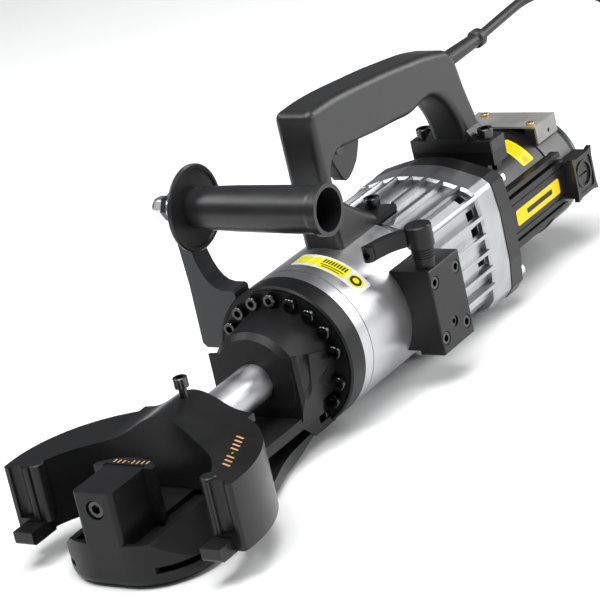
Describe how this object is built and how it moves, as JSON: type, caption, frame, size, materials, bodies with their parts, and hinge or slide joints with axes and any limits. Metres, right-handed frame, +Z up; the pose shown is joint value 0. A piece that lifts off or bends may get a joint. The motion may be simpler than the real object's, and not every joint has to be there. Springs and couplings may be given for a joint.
{
  "type": "rebar bender",
  "caption": "Portable electro-hydraulic rebar bender: a U-shaped head on a piston rod closes round a fixed post, driven by a pump and motor under a carrying handle.",
  "frame": {"origin": "base plane under the middle of the tool's box, without the cord", "axes": "+X along the ram from the bending head to the motor, +Y to the side with the grip's bracket, +Z up"},
  "size_m": [0.8259, 0.212, 0.2223],
  "materials": {
    "casting_black": "black painted casting",
    "forged_black": "satin black forged steel",
    "screw_black": "black oxide socket screws",
    "turned_steel": "bright turned steel",
    "chromed_steel": "hard chromed rod",
    "bearing_bronze": "machined bronze",
    "seal_rubber": "nitrile seal",
    "cast_aluminium": "bright die casting",
    "painted_aluminium": "gloss black paint over aluminium",
    "motor_black": "gloss black steel",
    "cover_black": "gloss black moulding",
    "handle_black": "fine grained black moulding",
    "trigger_black": "smooth black moulding",
    "grip_black": "satin black rubbery plastic",
    "plate_grey": "dark grey plate",
    "plated_cover": "grey coated sheet steel",
    "zinc_steel": "zinc plated",
    "spring_steel": "spring wire",
    "lamination": "stacked laminations",
    "copper": "copper segments",
    "carbon": "carbon brush",
    "cord_rubber": "rubber sheathed cable"
  },
  "bodies": {
    "frame": {"frame_casting": "casting_black", "flange_bolts": "screw_black", "rod_wiper": "seal_rubber", "rod_bush": "bearing_bronze", "former": "forged_black", "former_screw": "screw_black", "cylinder_body": "turned_steel", "valve_block": "forged_black", "valve_block_plug": "screw_black", "valve_gland": "forged_black", "side_bracket": "plate_grey", "side_grip": "grip_black", "grip_guard": "grip_black", "grip_bolt": "zinc_steel", "grip_washer": "zinc_steel", "grip_lock_nut": "screw_black", "grip_dome_nut": "zinc_steel", "handle_half_right": "handle_black", "handle_half_left": "handle_black", "trigger_pin": "zinc_steel", "trigger_switch": "trigger_black", "handle_pedestal": "painted_aluminium", "handle_front_pad": "painted_aluminium", "pump_housing": "cast_aluminium", "motor_plate": "painted_aluminium", "pump_block": "turned_steel", "pump_plunger": "turned_steel", "eccentric_bearings": "chromed_steel", "motor_casing": "motor_black", "motor_end_cover": "cover_black", "brush_caps": "trigger_black", "carbon_brushes": "carbon", "stator": "lamination", "motor_bearings": "chromed_steel", "motor_top_cover": "plated_cover", "cover_screws": "bearing_bronze", "m6_screws": "screw_black", "m5_screws": "zinc_steel", "m8_screws": "screw_black", "strain_relief": "cord_rubber", "power_cord": "cord_rubber", "cord_coil": "cord_rubber", "plug": "cord_rubber"},
    "ram": {"piston_rod": "chromed_steel", "piston": "turned_steel", "piston_rings": "seal_rubber", "return_spring": "spring_steel", "u_head": "forged_black", "nose_pins": "forged_black", "head_set_screw": "screw_black"},
    "release_lever": {"release_lever": "forged_black", "valve_spindle": "turned_steel"},
    "trigger": {"trigger": "trigger_black", "trigger_spring": "spring_steel"},
    "eccentric": {"eccentric_shaft": "turned_steel", "reduction_gear": "turned_steel"},
    "armature": {"armature_shaft": "turned_steel", "armature_core": "lamination", "commutator": "copper", "cooling_fan": "handle_black"}
  },
  "joints": [
    {"name": "ram_slide", "type": "slide", "parent": "frame", "child": "ram", "axis": [1, 0, 0], "range_m": [-0.004, 0.064]},
    {"name": "lever_turn", "type": "hinge", "parent": "frame", "child": "release_lever", "pos_m": [0.0205, -0.0705, 0.11], "axis": [0, 0, 1], "range_deg": [0, 90]},
    {"name": "trigger_pull", "type": "hinge", "parent": "frame", "child": "trigger", "pos_m": [0.026, 0, 0.1825], "axis": [0, -1, 0], "range_deg": [0, 12], "stiffness_Nm_per_rad": 0.5, "springref_deg": -11.46, "deforming": ["trigger_spring"]},
    {"name": "armature_spin", "type": "hinge", "parent": "frame", "child": "armature", "pos_m": [0.225, 0, 0.06], "axis": [1, 0, 0], "continuous": true},
    {"name": "eccentric_spin", "type": "hinge", "parent": "frame", "child": "eccentric", "pos_m": [0.105, 0, 0.034], "axis": [1, 0, 0], "continuous": true}
  ],
  "couplings": [
    {"joint": "eccentric_spin", "follows": "armature_spin", "ratio": -0.3}
  ]
}
